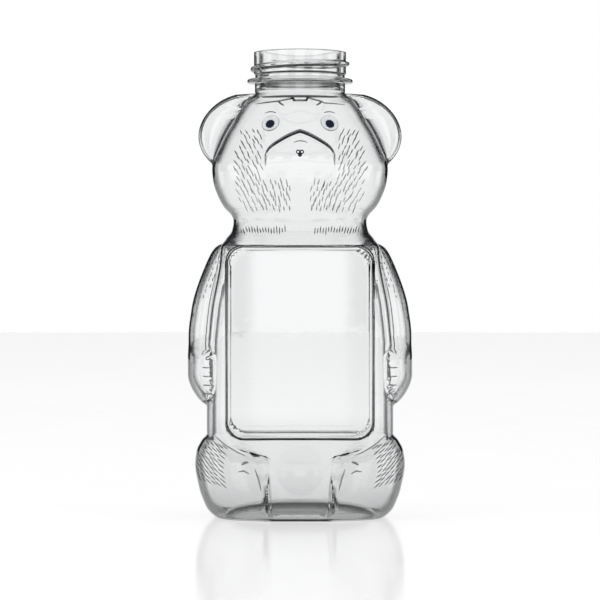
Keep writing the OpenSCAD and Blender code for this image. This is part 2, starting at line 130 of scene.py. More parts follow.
class BottleSizes(bpy.types.PropertyGroup):
    """Sizes of the moulding and its prints. The eyes and the muzzle's shelf are lower than the frame's."""
    thread_d: length("Thread diameter", 37.4, "Diameter over the crest of the screw thread")
    neck_d: length("Neck diameter", 34.8, "Outside diameter of the neck wall that carries the thread")
    bore_d: length("Bore", 31.4, "Bore of the mouth")
    finish_h: length("Finish height", 10.3, "Height from the support ring to the sealing land")
    thread_pitch: length("Thread pitch", 4.2, "Rise of the thread in one turn")
    ring_d: length("Support ring diameter", 39.8, "Diameter of the support ring")
    ring_t: length("Support ring thickness", 1.3, "Thickness of the support ring at its edge")
    stub_d: length("Stub diameter", 34.1, "Diameter of the plain neck under the support ring")
    stub_h: length("Stub height", 4, "Height of the plain neck under the support ring")
    base_h: length("Base height", 34, "Height of the base part, up to the split in the waist")
    torso_h: length("Torso height", 77, "Height of the torso part, up to the split in the collar")
    head_h: length("Head height", 48, "Height of the head part, up to the neck")
    foot_w: length("Foot width", 63.4, "Width of the standing face")
    thigh_w: length("Thigh width", 79, "Width over the thighs")
    waist_w: length("Waist width", 69.8, "Width of the waist")
    shoulder_w: length("Shoulder width", 59.6, "Width of the torso at the shoulders, without the arms")
    arm_span: length("Arm span", 84.2, "Width over both arms")
    collar_w: length("Collar width", 50.2, "Width of the collar")
    head_w: length("Head width", 66.4, "Width of the head, without the ears")
    ear_span: length("Ear span", 76.6, "Width over both ears")
    body_d: length("Body depth", 66, "Depth over the feet and the tail, which the muzzle reaches too")
    foot_d: length("Foot depth", 58, "Depth of the standing face")
    thigh_d: length("Thigh depth", 61.6, "Depth over the thighs, without the feet")
    torso_d: length("Torso depth", 58, "Depth of the torso")
    collar_d: length("Collar depth", 46.8, "Depth of the collar")
    head_d: length("Head depth", 58, "Depth of the head")
    wall: length("Wall", 0.55, "Thickness of the blown wall")
    panel_w: length("Panel width", 53.6, "Width of each label panel")
    panel_h: length("Panel height", 70.3, "Height of each label panel")
    panel_r: length("Panel corner", 6, "Corner radius of each label panel")
    panel_recess: length("Panel recess", 1, "Depth of each label panel below the belly")
    panel_step: length("Panel step", 1.1, "Width of the slope around each label panel")
    panel_bow: length("Panel bow", 180, "Radius that each label panel is bowed to")
    arm_reach: length("Arm reach", 14, "Half the depth of an arm")
    paw_reach: length("Paw reach", 24, "How far a paw reaches forward of the parting plane")
    ear_t: length("Ear thickness", 8.4, "Thickness of an ear")
    muzzle_w: length("Muzzle width", 26, "Width of the muzzle")
    muzzle_h: length("Muzzle height", 18.8, "Height of the muzzle, from the chin to its peak")
    muzzle_shelf: length("Muzzle shelf", 1.5, "Height of the steep shelf over the muzzle")
    foot_gap: length("Foot gap", 20.4, "Gap between the two feet")
    eye_gap: length("Eye gap", 21.8, "Distance between the centres of the eyes")
    eye_d: length("Eye diameter", 6.9, "Diameter of each raised eye")
    eye_proud: length("Eye height", 0.14, "How far each raised eye stands proud of the face")
    pupil_d: length("Pupil diameter", 3.6, "Diameter of each printed pupil")
    pupil_drop: length("Pupil drop", 0.5, "How far the pupils sit below the middle of the eyes")
    nose_print_w: length("Nose print width", 3, "Width of the printed nose")
    ink_t: length("Ink thickness", 0.08, "Thickness of the printed ink")
    tail_d: length("Tail diameter", 17, "Diameter of the round tail")
    punt_h: length("Punt height", 5.5, "Depth of the hollow under the base")
    stroke_w: length("Stroke width", 0.5, "Width of a moulded stroke of fur")
    stroke_h: length("Stroke height", 0.2, "How far a moulded stroke stands out of the wall")


class BottleFinish(bpy.types.PropertyGroup):
    """Colours of the plastic, its painted edge shade, the ink and the floor, and the place of the camera."""
    plastic: colour("Plastic", (0.972, 0.978, 0.98), "Tint of the clear plastic, seen square on")
    # Painted shade: the dark colour given to the plastic where it is seen along the wall
    plastic_edge_shade: colour("Plastic edge", (0.012, 0.014, 0.016), "Painted shade of the plastic, seen along the wall")
    pupil: colour("Pupil ink", (0.003, 0.006, 0.018), "Ink of the pupils")
    nose: colour("Nose ink", (0.012, 0.014, 0.022), "Ink of the nose")
    floor: colour("Floor", (0.92, 0.92, 0.92), "Colour of the floor")
    plastic_ior: bpy.props.FloatProperty(
        name="Plastic refraction", description="Refractive index of the plastic", default=1.57, min=1.0)
    camera_distance: length("Camera distance", 1057, "From the camera to the bottle's axis")
    camera_height: length("Camera height", 81.3, "Height of the level camera above the floor")
    frame_width: length("Frame width", 226.4, "Width of the picture at the bottle's axis")


def clamp01(t):
    return np.clip(t, 0.0, 1.0)


def ease(t):
    """0 up to t = 0 and 1 from t = 1 on, with a smooth rise between."""
    c = clamp01(t)
    return c * c * (3 - 2 * c)


def mix(a, b, t):
    return a + (b - a) * t


def dome(u, p):
    """Quarter of a superellipse: 1 at u = 0 and 0 from u = 1 on."""
    inside = np.minimum(np.abs(u), 1.0)
    return np.power(1 - np.power(inside, p), 1 / p)


def curve(stations, column, z):
    """A smooth curve through stations, which never overshoots them."""
    heights, values = stations[:, 0], stations[:, column]
    rises = np.diff(values) / np.diff(heights)
    before, after = rises[:-1], rises[1:]
    total = np.where(before * after > 0, before + after, 1.0)
    inner = np.where(before * after > 0, 2 * before * after / total, 0.0)
    slopes = np.concatenate([rises[:1], inner, rises[-1:]])
    i = np.clip(np.searchsorted(heights, z, side="right") - 1, 0, len(heights) - 2)
    h = heights[i + 1] - heights[i]
    t = clamp01((z - heights[i]) / h)
    start = (1 + 2 * t) * (1 - t) ** 2 * values[i] + t * (1 - t) ** 2 * h * slopes[i]
    return start + t * t * (3 - 2 * t) * values[i + 1] - t * t * (1 - t) * h * slopes[i + 1]


def oval(a, b, p, t):
    """Point of a plain ring at an angle in radians."""
    spread = (np.abs(np.cos(t)) / a) ** p + (np.abs(np.sin(t)) / b) ** p
    r = spread ** (-1 / p)
    return r * np.cos(t), r * np.sin(t)


def all_round(rear, fore):
    """Angles from +X by +Y all the way round, from those of a quarter at the rear and the front."""
    return np.concatenate([rear, math.pi - rear[-2::-1], math.pi + fore[1:], 2 * math.pi - fore[-2:0:-1]])


class Mould:
    """The moulded surface, in millimetres: front is -Y, up is +Z."""

    # Columns of a quarter, as shares of the half depth of an arm or ear, and of the half width of
    # a foot gap, panel or muzzle: they stand close together at each edge
    side_share = np.array([
        0, .12, .24, .36, .48, .6, .7, .78, .85, .9, .94, .965, .985, 1, 1.015, 1.035, 1.06, 1.1])
    front_share = np.array([
        1.055, 1.042, 1.032, 1.022, 1.012, 1.003, .993, .983, .972, .96, .94, .91, .87, .82, .77,
        .71, .65, .59, .53, .47, .41, .35, .29, .23, .17, .11, .055, 0])
    corner_steps = 10
    # Arms: how much slimmer an upper arm is than a paw, the height over which it thins below the
    # elbow, and the rise over the palm and the height over which a paw's reach fades
    arm_slim, arm_fade, wrist_rise, wrist_fade = 1, 12, 7, 6
    # Ears: how far they reach over and under their middle, and where they are cut
    ear_above, ear_below, ear_end = 16.2, 15, 16
    # Muzzle: where up its front it starts to fall back, how far it does, how soon it is full over
    # the chin, and how far the chin rises to its sides
    snout_brow, snout_fall, snout_fill, chin_rise = 0.74, 0.12, 1.35, 0.33
    # Rings of the punt, as shares of the standing face, and how high its hollow is at some of them
    punt_share = (0.04, 0.12, 0.22, 0.33, 0.44, 0.54, 0.63, 0.71, 0.78, 0.83, 0.87, 0.9, 0.95)
    punt_rise = np.array([[0, 1], [0.35, 0.93], [0.62, 0.72], [0.83, 0.3], [0.9, 0]], dtype=float)
    # The thread: its first angle, the angle over which it grows, its share of full height at the
    # very ends, its half height at the root and the crest, the height at which it starts and the
    # distance between its rings
    thread_turn, thread_fade, thread_tip = math.radians(138), math.radians(24), 0.05
    thread_root, thread_crest = 1.2, 0.45
    thread_rise, thread_row = 3.4, 0.23

    def __init__(self, settings):
        for name in BottleSizes.__annotations__:
            setattr(self, name, getattr(settings, name) / MM)
        self.collar_z = self.base_h + self.torso_h
        self.neck_z = self.collar_z + self.head_h
        self.ring_z = self.neck_z + self.stub_h
        self.finish_z = self.ring_z + self.ring_t
        self.lip_z = self.finish_z + self.finish_h
        self.hip_z = self.base_h - 2.5
        self.panel_mid_z = self.hip_z + 34.1
        self.shoulder_z = self.collar_z - 8.6
        self.elbow_z = self.collar_z - 34
        self.palm_z = self.base_h + 19
        self.paw_end_z = self.base_h + 8
        self.ear_x = 20
        self.ear_z = self.neck_z - 16
        self.chin_z = self.collar_z + 13
        self.peak_z = self.chin_z + self.muzzle_h
        self.eye_z = self.collar_z + 35.7
        self.nose_z = self.collar_z + 24.2
        self.tail_z = 15
        self.stations = self.wall_stations()
        self.leg_edge = self.leg_stations()

    def wall_stations(self):
        """Stations of the plain wall: height, half width, half depth, squareness."""
        foot = np.array([self.foot_w, self.foot_d])
        thigh = np.array([self.thigh_w, self.thigh_d])
        waist = np.array([self.waist_w, self.torso_d])
        shoulder = np.array([self.shoulder_w, self.torso_d])
        shoulder_top = np.array([self.shoulder_w - 0.6, self.torso_d])
        collar = np.array([self.collar_w, self.collar_d])
        head = np.array([self.head_w, self.head_d])
        stub = np.array([self.stub_d, self.stub_d])
        hip_z, elbow_z, shoulder_z = self.hip_z, self.elbow_z, self.shoulder_z
        collar_z, neck_z = self.collar_z, self.neck_z
        # Height, the two places that it lies between, its shares of the way in width and in
        # depth, and squareness
        rows = [
            (0, foot, thigh, 0, 0, 2.7),
            (1.3, foot, thigh, 0.22, 0.3, 2.7),
            (3, foot, thigh, 0.42, 0.55, 2.7),
            (6, foot, thigh, 0.6, 0.75, 2.8),
            (10.5, foot, thigh, 0.8, 0.9, 2.8),
            (20, thigh, waist, 0, 0, 2.9),
            (hip_z - 6.5, waist, thigh, 0.86, 0.9, 3.2),
            (hip_z - 2, waist, thigh, 0.36, 0.5, 4),
            (hip_z, waist, thigh, 0, 0.1, 4.6),
            (self.base_h, waist, shoulder, 0, 0, 5),
            (elbow_z - 15, shoulder, waist, 0.93, 0, 5.2),
            (elbow_z, shoulder, waist, 0.68, 0, 6),
            (shoulder_z - 6, shoulder, collar, 0, 0, 7),
            (shoulder_z - 1.2, collar, shoulder_top, 1, 0.94, 5.8),
            (shoulder_z + 1.8, collar, shoulder, 0.62, 0.6, 3.6),
            (collar_z - 3.4, collar, shoulder, 0.12, 0.15, 2.6),
            (collar_z, collar, head, 0, 0, 2.3),
            (collar_z + 2, collar, head, 0.08, 0.08, 2.2),
            (collar_z + 5, collar, head, 0.42, 0.42, 2.2),
            (collar_z + 9, collar, head, 0.7, 0.7, 2.2),
            (collar_z + 14, collar, head, 0.92, 0.92, 2.2),
            (collar_z + 19.5, head, stub, 0, 0, 2.2),
            (neck_z - 19, stub, head, 0.8, 0.8, 2.2),
            (neck_z - 14, stub, head, 0.65, 0.66, 2.15),
            (neck_z - 9, stub, head, 0.46, 0.48, 2.1),
            (neck_z - 5, stub, head, 0.31, 0.34, 2.05),
            (neck_z - 2.4, stub, head, 0.19, 0.22, 2),
            (neck_z - 0.8, stub, head, 0.06, 0.07, 2),
            (neck_z, stub, stub, 0, 0, 2),
        ]
        return np.array([
            (z, *mix(near, far, np.array([wide, deep])) / 2, square)
            for z, near, far, wide, deep, square in rows])

    def leg_stations(self):
        """Upper edge of the legs on the belly: distance from the middle, height."""
        inner, hip_z = self.foot_gap / 2, self.hip_z
        return np.array([
            [inner, 0], [inner + 2, hip_z - 14], [inner + 4, hip_z - 9.6], [inner + 7.2, hip_z - 6.9],
            [inner + 11.6, hip_z - 9.6], [inner + 17.6, hip_z - 6], [inner + 22.6, hip_z - 1.4],
            [self.waist_w / 2 + 2, hip_z],
        ], dtype=float)

    def half_width(self, z):
        """Half the width of the plain wall at a height."""
        return curve(self.stations, 1, np.float64(z))

    def ring(self, z):
        """Half width, half depth and squareness of the plain wall."""
        return [curve(self.stations, column, z) for column in (1, 2, 3)]

    def arm_swell(self, z):
        """How far an arm stands out of the torso's side: full at the elbow, and gone at both ends."""
        room = self.arm_span / 2 - curve(self.stations, 1, z)
        upper = self.arm_span / 2 - self.half_width(self.elbow_z) - self.arm_slim
        above = upper * dome(clamp01((z - self.elbow_z) / (self.shoulder_z - self.elbow_z)), 2)
        middle = mix(room, upper, ease((z - self.elbow_z + self.arm_fade) / self.arm_fade))
        paw = room * dome(clamp01((self.palm_z - z) / (self.palm_z - self.paw_end_z)), 1.5)
        return np.where(z >= self.elbow_z, above, np.where(z >= self.palm_z, middle, paw))

    def limb_end(self, z):
        """Share of its depth that an arm has at a height: less towards the shoulder and the paw's end."""
        past_end = 1
        above = dome(clamp01((z - self.elbow_z) / (self.shoulder_z + past_end - self.elbow_z)), 3)
        below = dome(clamp01((self.palm_z - z) / (self.palm_z - self.paw_end_z + past_end)), 2.4)
        return np.where(z > self.palm_z, above, below)

    def arm_front(self, z):
        """How far an arm reaches forward: more at the paw."""
        fade = ease((z - self.palm_z - self.wrist_rise) / self.wrist_fade)
        return self.limb_end(z) * mix(self.paw_reach, self.arm_reach, fade)

    def arm(self, y, z):
        """Push of an arm out of the side."""
        front = np.maximum(self.arm_front(z), TINY)
        back = np.maximum(self.limb_end(z) * self.arm_reach, TINY)
        swell = self.arm_swell(z) * dome((y - (back - front) / 2) / ((back + front) / 2), 2.3)
        return np.where((z <= self.paw_end_z) | (z >= self.shoulder_z), 0.0, swell)

    def ear(self, y, z):
        """Push of an ear out of the side."""
        half = self.ear_span / 2 - self.ear_x
        above = dome(clamp01((z - self.ear_z) / self.ear_above), 1.9)
        below = dome(clamp01((self.ear_z - z) / self.ear_below), 2)
        edge = self.ear_x + half * np.where(z > self.ear_z, above, below)
        out = np.maximum(0, edge - curve(self.stations, 1, z)) * dome(2 * y / self.ear_t, 4)
        return np.where(np.abs(z - self.ear_z) >= self.ear_end, 0.0, out)

    def muzzle_drop(self, u):
        """How far the muzzle's upper edge lies below its peak, at a share of its half width."""
        inside = np.minimum(u, 1)
        arch, corner = 0.37 * inside ** 1.3, 0.12 * inside ** 14
        return self.muzzle_h * (arch + corner)

    def muzzle(self, x, z):
        """Push of the muzzle: a steep shelf over a blunt snout that rounds in to the chin."""
        u = np.minimum(2 * np.abs(x) / self.muzzle_w, 1)
        top = self.peak_z - self.muzzle_drop(u)
        bottom = self.chin_z + self.chin_rise * self.muzzle_h * u * u
        v = (z - bottom) / np.maximum(top - bottom, TINY)
        over = (z - top) / self.muzzle_shelf
        fall = self.snout_fall * np.maximum(0, v - self.snout_brow) / (1 - self.snout_brow)
        snout = 1 - (1 - clamp01(v * self.snout_fill)) ** 2 - fall
        shelf = (1 - self.snout_fall) * (1 - ease(over))
        reach = (self.body_d / 2 - curve(self.stations, 2, self.nose_z)) * dome(u, 2)
        push = reach * np.where(over > 0, shelf, snout)
        return np.where((v <= 0) | (over >= 1) | (u >= 1), 0.0, push)

    def panel(self, x, z):
        """1 inside a label panel and 0 outside it, with a narrow slope between."""
        dx = np.abs(x) - self.panel_w / 2 + self.panel_r
        dz = np.abs(z - self.panel_mid_z) - self.panel_h / 2 + self.panel_r
        corner = np.hypot(np.maximum(dx, 0), np.maximum(dz, 0))
        out = corner + np.minimum(np.maximum(dx, dz), 0) - self.panel_r
        return ease(0.5 - out / self.panel_step)

    def belly(self, x, z):
        """1 on the belly and 0 on the legs, at the front."""
        blend, inset, fade = 1.6, 1.5, 5
        x = np.abs(x)
        between = -blend * 4 * (1 - 2 * x / self.foot_gap)
        edge = np.where(x < self.foot_gap / 2, between, curve(self.leg_edge, 1, x))
        amount = np.where(x >= self.waist_w / 2, 0.0, ease((z - edge) / blend))
        amount = 1 - (1 - amount) * ease((x - self.foot_gap / 2 + inset) / fade)
        return np.where(z >= self.base_h, 1.0, amount)

    def tail(self, x, z):
        """Push of the round tail."""
        reach = self.body_d / 2 - curve(self.stations, 2, self.tail_z)
        return reach * dome(np.hypot(x, z - self.tail_z) * 2 / self.tail_d, 2) ** 1.4

    def foot(self, x, z):
        """Push of the feet, which fades to the sides and towards the floor."""
        side_fade, floor_fade = 9, 6
        reach = (self.body_d - self.thigh_d) / 2 * (1 - self.belly(x, z))
        return reach * ease((self.waist_w / 2 - np.abs(x)) / side_fade) * ease(z / floor_fade + 0.1)

    def skin(self, z, t):
        """The moulded surface at heights and angles of the plain rings."""
        x, y = oval(*self.ring(z), t)
        front = y < 0
        belly_x, belly_y = oval(*self.ring(np.full_like(z, self.base_h)), t)
        amount = np.where(front & (z < self.base_h), self.belly(x, z), 0.0)
        bare_x, bare_y = mix(x, belly_x, amount), mix(y, belly_y, amount)
        face = self.torso_d / 2 - self.panel_recess - bare_x ** 2 / (2 * self.panel_bow)
        flat = mix(bare_y, np.sign(bare_y) * face, self.panel(bare_x, z))
        push = np.where(z > self.collar_z, np.where(front, -self.muzzle(bare_x, z), 0.0), 0.0)
        low = np.where(front, -self.foot(x, z), self.tail(bare_x, z))
        push = np.where(z < self.base_h, low, push)
        out_x = bare_x + np.sign(bare_x) * (self.arm(bare_y, z) + self.ear(bare_y, z))
        return np.stack([out_x, flat + push, z], axis=1)

    def dip(self, x, z):
        """Rings near the face dip towards the sides of the muzzle, and so follow its edge."""
        u, fade = 2 * np.abs(x) / self.muzzle_w, 0.9
        beside = np.where(u < 1, self.muzzle_drop(u), self.muzzle_drop(1.0) * (1 - ease((u - 1) / fade)))
        start, shelf_z, end = self.collar_z + 2, self.peak_z + self.muzzle_shelf, self.neck_z - 5
        if z < self.peak_z:
            near = (z - start) / (self.peak_z - start)
        elif z < shelf_z:
            near = 1.0
        else:
            near = 1 - (z - shelf_z) / (end - shelf_z)
        return beside * clamp01(near)

    def feature_angles(self, z, front):
        """Angles of the columns over a quarter, packed along the edges of limbs and panels."""
        a, b, p = self.ring(np.float64(z))
        if z > self.shoulder_z:
            side_w, front_w = self.ear_t / 2, self.muzzle_w / 2
        else:
            reach = float(self.arm_front(z)) if front and z > self.paw_end_z + 2 else self.arm_reach
            # The columns of an arm keep to the flat of the side, and those of the feet turn into
            # the panel's below the hip
            side_w = min(max(reach, self.arm_reach * 0.6), 0.74 * b)
            front_w = mix(self.foot_gap / 2 + 1, self.panel_w / 2, ease((z - self.hip_z + 10) / 8))
        depths = self.side_share * side_w
        widths = self.front_share * front_w
        side = np.arctan2(depths, a * dome(depths / b, p))
        ahead = np.arctan2(b * dome(widths / a, p), widths)
        corner = np.linspace(side[-1], ahead[0], self.corner_steps + 1)[1:-1]
        return np.concatenate([side, corner, ahead])

    def column_angles(self, z, front):
        """Angles of the columns over a quarter.

        In the collar they shift from the edges of the arms to those of the ears, and in the neck
        they even out."""
        collar_top, neck_foot = self.collar_z + 8, self.neck_z - 2
        if z <= self.shoulder_z or collar_top <= z <= neck_foot:
            return self.feature_angles(z, front)
        if z < collar_top:
            below, above = self.feature_angles(self.shoulder_z, front), self.feature_angles(collar_top, front)
            return mix(below, above, ease((z - self.shoulder_z) / (collar_top - self.shoulder_z)))
        last = self.feature_angles(neck_foot, front)
        even = np.linspace(0, math.pi / 2, len(last))
        return mix(last, even, ease((z - neck_foot) / (self.stub_h + 2)))

    def quarters(self, z):
        """Angles of the columns over a quarter, at the rear and at the front."""
        return self.column_angles(z, False), self.column_angles(z, True)

    def wall_ring(self, z):
        """One ring of the outside, all the way round from +X by +Y."""
        rear, fore = self.quarters(z)
        heights = np.full_like(fore, z)
        if z > self.collar_z + 2:
            x = oval(*self.ring(heights), fore)[0]
            heights = z - self.dip(x, z)
            a, b, p = self.ring(heights)
            fore = np.where(heights < z, np.arctan2(b * dome(x / a, p), x), fore)
        level = np.full_like(rear, z)
        rows = np.concatenate([level, level[-2::-1], heights[1:], heights[-2:0:-1]])
        return self.skin(rows, all_round(rear, fore))

    def wall_heights(self):
        """Heights of the rings, close together where the surface turns sharply."""
        low = self.panel_mid_z - self.panel_h / 2
        high = self.panel_mid_z + self.panel_h / 2
        edge = 1.1
        # The height up to which each run goes, and the distance between its rings
        runs = [
            (2, 0.5), (low - edge, 1.15), (low + edge, 0.27), (self.paw_end_z - 0.4, 1.3),
            (self.paw_end_z + 3, 0.5), (self.palm_z + 4, 1.3), (high - 3, 1.9), (high - edge, 0.8),
            (high + edge, 0.27), (self.shoulder_z + 2, 0.4), (self.collar_z, 0.9),
            (self.collar_z + 2, 0.5), (self.chin_z, 1.0), (self.peak_z - 1, 0.9),
            (self.peak_z + self.muzzle_shelf + 0.5, 0.2), (self.neck_z - 3, 0.85), (self.neck_z, 0.45),
        ]
        rows, start = [], 0
        for end, step in runs:
            count = max(1, round((end - start) / step))
            rows += [start + (end - start) * i / count for i in range(count)]
            start = end
        return rows + [self.neck_z]

    def punt_rows(self):
        """Rings of the punt under the base, from its middle to the standing face."""
        outline = self.wall_ring(0.0)
        rows = []
        for share in self.punt_share:
            ring = outline * share
            ring[:, 2] = self.punt_h * curve(self.punt_rise, 1, np.float64(share))
            rows.append(ring)
        return rows

    def thread(self, turn, z):
        """How far the thread stands out of the neck wall."""
        along = np.mod(turn - self.thread_turn, 2 * math.pi)
        middle = self.finish_z + self.thread_rise + self.thread_pitch * along / (2 * math.pi)
        grow = clamp01(np.minimum(along, 2 * math.pi - along) / self.thread_fade + self.thread_tip)
        shape = ease((self.thread_root - np.abs(z - middle)) / (self.thread_root - self.thread_crest))
        return (self.thread_d - self.neck_d) / 2 * grow * shape

    def neck_profile(self):
        """Radius and height of each ring of the neck, as steps from its corners."""
        stub, ring, neck, bore = self.stub_d / 2, self.ring_d / 2, self.neck_d / 2, self.bore_d / 2
        thread_rows = np.arange(self.finish_z + 2.25, self.lip_z - 0.5, self.thread_row)
        corners = [
            (stub, self.neck_z, [(0, 0.8), (0, 2)]),
            (stub, self.ring_z, [(0, -0.6), (0, -0.1), (0.15, 0)]),
            (ring, self.ring_z, [(-0.5, 0.02), (-0.2, 0.1), (-0.05, 0.25), (0, 0.45)]),
            (ring, self.finish_z, [(0, -0.4), (-0.05, -0.15), (-0.2, -0.02), (-0.5, 0)]),
            (neck, self.finish_z, [(-0.35, 0.02), (-0.5, 0.15), (-0.5, 0.6), (-0.5, 1.2),
                                   (-0.48, 1.75), (-0.3, 1.95), (-0.05, 2.1)]),
            (neck, 0, [(0, z) for z in thread_rows]),
            (neck, self.lip_z, [(0, -0.3), (-0.06, -0.12), (-0.2, -0.02), (-0.4, 0)]),
            (bore, self.lip_z, [(0.35, 0), (0.15, -0.03), (0.03, -0.12), (0, -0.3), (0, -3)]),
            (bore, self.finish_z, [(0, 3)]),
            (bore, self.ring_z, [(0, 0.6), (0.06, 0), (0.3, -1)]),
            (stub - self.wall, self.neck_z, [(-0.1, 1.4), (0, 0.4)]),
        ]
        return [(radius + out, z + up) for radius, z, steps in corners for out, up in steps]

    def neck_rows(self):
        """Rings of the neck: up the outside, over the lip and down the bore."""
        root, outer = self.neck_d / 2 - 0.02, self.bore_d / 2 + 1
        groove, groove_foot, groove_top = 0.5, self.finish_z + 1.2, self.finish_z + 2
        rows = []
        for radius, z in self.neck_profile():
            turn = all_round(*self.quarters(min(z, self.ring_z)))
            spread = np.full_like(turn, radius)
            if radius > outer and z > groove_foot:
                spread = np.maximum(spread, root + self.thread(turn, z) - groove * (z < groove_top))
            level = np.full_like(turn, z)
            rows.append(np.stack([spread * np.cos(turn), spread * np.sin(turn), level], axis=1))
        return rows

    def rings(self):
        """Every ring of the moulding, from under the punt, over the lip and back down inside."""
        grid = np.array(self.punt_rows() + [self.wall_ring(z) for z in self.wall_heights()])
        up = np.empty_like(grid)
        up[1:-1] = grid[2:] - grid[:-2]
        up[0], up[-1] = grid[1] - grid[0], grid[-1] - grid[-2]
        around = np.roll(grid, -1, axis=1) - np.roll(grid, 1, axis=1)
        normal = np.cross(around, up)
        normal /= np.maximum(np.linalg.norm(normal, axis=2, keepdims=True), TINY)
        inside = grid - self.wall * normal
        inner = 1 - 2 * self.wall / self.stub_d
        inside[-1] = grid[-1] * [inner, inner, 1]
        return list(grid) + self.neck_rows() + list(inside[::-1])


def new_piece(name, points, faces, material, smooth=True):
    """A piece in metres, from points in millimetres, which rides on the bottle."""
    mesh = bpy.data.meshes.new(name)
    mesh.from_pydata((np.asarray(points) * MM).tolist(), [], [list(f) for f in faces])
    mesh.validate()
    mesh.polygons.foreach_set("use_smooth", [smooth] * len(mesh.polygons))
    mesh.materials.append(material)
    mesh.update()
    piece = bpy.data.objects.new(name, mesh)
    bpy.context.scene.collection.objects.link(piece)
    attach(piece, BODY)
    return piece


def band(first, second, sides):
    """Quads between two closed rings of points."""
    return [(first + j, first + (j + 1) % sides, second + (j + 1) % sides, second + j) for j in range(sides)]


def new_material(name):
    """An empty material and its node tree."""
    material = bpy.data.materials.new(name)
    material.use_nodes = True
    material.node_tree.nodes.clear()
    return material, material.node_tree


def add_node(tree, kind, values=None, **settings):
    """A shader node. A value is a number or colour for a socket, or another socket that feeds it."""
    node = tree.nodes.new("ShaderNode" + kind)
    for name, setting in settings.items():
        setattr(node, name, setting)
    for socket, value in (values or {}).items():
        if isinstance(value, bpy.types.NodeSocket):
            tree.links.new(value, node.inputs[socket])
        else:
            node.inputs[socket].default_value = value
    return node


def calculated(tree, operation, *values):
    """The result of a Math node."""
    return add_node(tree, "Math", dict(enumerate(values)), operation=operation).outputs[0]


def graded(tree, value, start, end, low=0.0, high=1.0):
    """A value taken smoothly from low at its start to high at its end."""
    places = {"Value": value, "From Min": start, "From Max": end, "To Min": low, "To Max": high}
    return add_node(tree, "MapRange", places, interpolation_type="SMOOTHSTEP").outputs["Result"]


def spanned(tree, value, low, high):
    """A share taken evenly to a value between low and high."""
    return add_node(tree, "MapRange", {"Value": value, "To Min": low, "To Max": high}).outputs["Result"]


def noise(tree, place, scale, detail=2.0):
    """Noise at a scale in waves to the metre."""
    return add_node(tree, "TexNoise", {"Vector": place, "Scale": scale, "Detail": detail}).outputs["Fac"]


def bumped(tree, height, strength, distance):
    """Normals of a relief whose depth is in metres."""
    values = {"Height": height, "Strength": strength, "Distance": distance}
    return add_node(tree, "Bump", values).outputs["Normal"]


def ray_is(tree, *kinds):
    """1 for rays of any of these kinds, and 0 for the rest."""
    path = add_node(tree, "LightPath")
    found = path.outputs[f"Is {kinds[0]} Ray"]
    for kind in kinds[1:]:
        found = calculated(tree, "MAXIMUM", found, path.outputs[f"Is {kind} Ray"])
    return found


def mixed_shader(tree, share, first, second):
    """The first shader where share is 0, and the second where it is 1."""
    return add_node(tree, "MixShader", {"Fac": share, 1: first, 2: second}).outputs["Shader"]


def clear_plastic(name, look):
    """Clear plastic with painted shade: its colour is darkened where the eye looks along the wall and towards
    the base. It has the ripple of a blown part.
    """
    shade_start, shade_end, ripple_scale = CLEAR_EDGE_SHADE_AND_RIPPLE[name]
    material, tree = new_material(name)
    facing = add_node(tree, "LayerWeight", {"Blend": 0.5}).outputs["Facing"]
    # Painted shade along the wall's edges, from the plastic's colour to its dark edge colour
    edge_shaded_colour = add_node(tree, "Mix", {
        "Factor": graded(tree, facing, shade_start, shade_end),
        COLOUR_A: (*look.plastic, 1.0), COLOUR_B: (*look.plastic_edge_shade, 1.0)}, data_type="RGBA")
    place = add_node(tree, "TexCoord").outputs["Object"]
    height = add_node(tree, "SeparateXYZ", {"Vector": place}).outputs["Z"]
    # Painted shade by height: this ramp darkens the plastic's colour towards the base
    thickness = add_node(tree, "ValToRGB", {"Fac": calculated(tree, "DIVIDE", height, CAD_BOX[1][2])})
    stops = thickness.color_ramp.elements
    stops.remove(stops[1])
    for k, (share, shade) in enumerate(HEIGHT_PAINTED_SHADE):
        stop = stops[0] if k == 0 else stops.new(share)
        stop.position = share
        stop.color = (shade, shade, shade, 1.0)
    shade_painted_colour = add_node(tree, "Mix", {
        "Factor": 1.0, COLOUR_A: edge_shaded_colour.outputs[COLOUR_RESULT],
        COLOUR_B: thickness.outputs["Color"]}, data_type="RGBA", blend_type="MULTIPLY")
    ripple = noise(tree, place, ripple_scale)
    plastic = add_node(tree, "BsdfPrincipled", {
        "Transmission Weight": 1.0, "IOR": look.plastic_ior, "Base Color": shade_painted_colour.outputs[COLOUR_RESULT],
        "Roughness": spanned(tree, ripple, 0.0, HAZE), "Normal": bumped(tree, ripple, *RIPPLE)})
    lets_light = add_node(tree, "BsdfTransparent", {"Color": (SHADOW_PASS, SHADOW_PASS, SHADOW_PASS, 1.0)})
    surface = mixed_shader(tree, ray_is(tree, "Shadow"), plastic.outputs["BSDF"], lets_light.outputs["BSDF"])
    add_node(tree, "OutputMaterial", {"Surface": surface})
    return material


def printed_ink(name, rgb):
    """Pad-printed ink, with thin spots that are paler, and a slight gloss."""
    thin_gain, thin_lift = 1.9, 0.006
    material, tree = new_material(name)
    grain = noise(tree, add_node(tree, "TexCoord").outputs["Object"], 2600.0, 4.0)
    cover = add_node(tree, "ValToRGB", {"Fac": grain})
    full, thin = cover.color_ramp.elements
    full.position, full.color = 0.3, (*rgb, 1.0)
    thin.position, thin.color = 0.75, (*(thin_gain * c + thin_lift for c in rgb), 1.0)
    ink = add_node(tree, "BsdfPrincipled", {
        "Base Color": cover.outputs["Color"], "Roughness": spanned(tree, grain, 0.28, 0.5),
        "Normal": bumped(tree, grain, 0.2, 0.00002)})
    add_node(tree, "OutputMaterial", {"Surface": ink.outputs["BSDF"]})
    return material


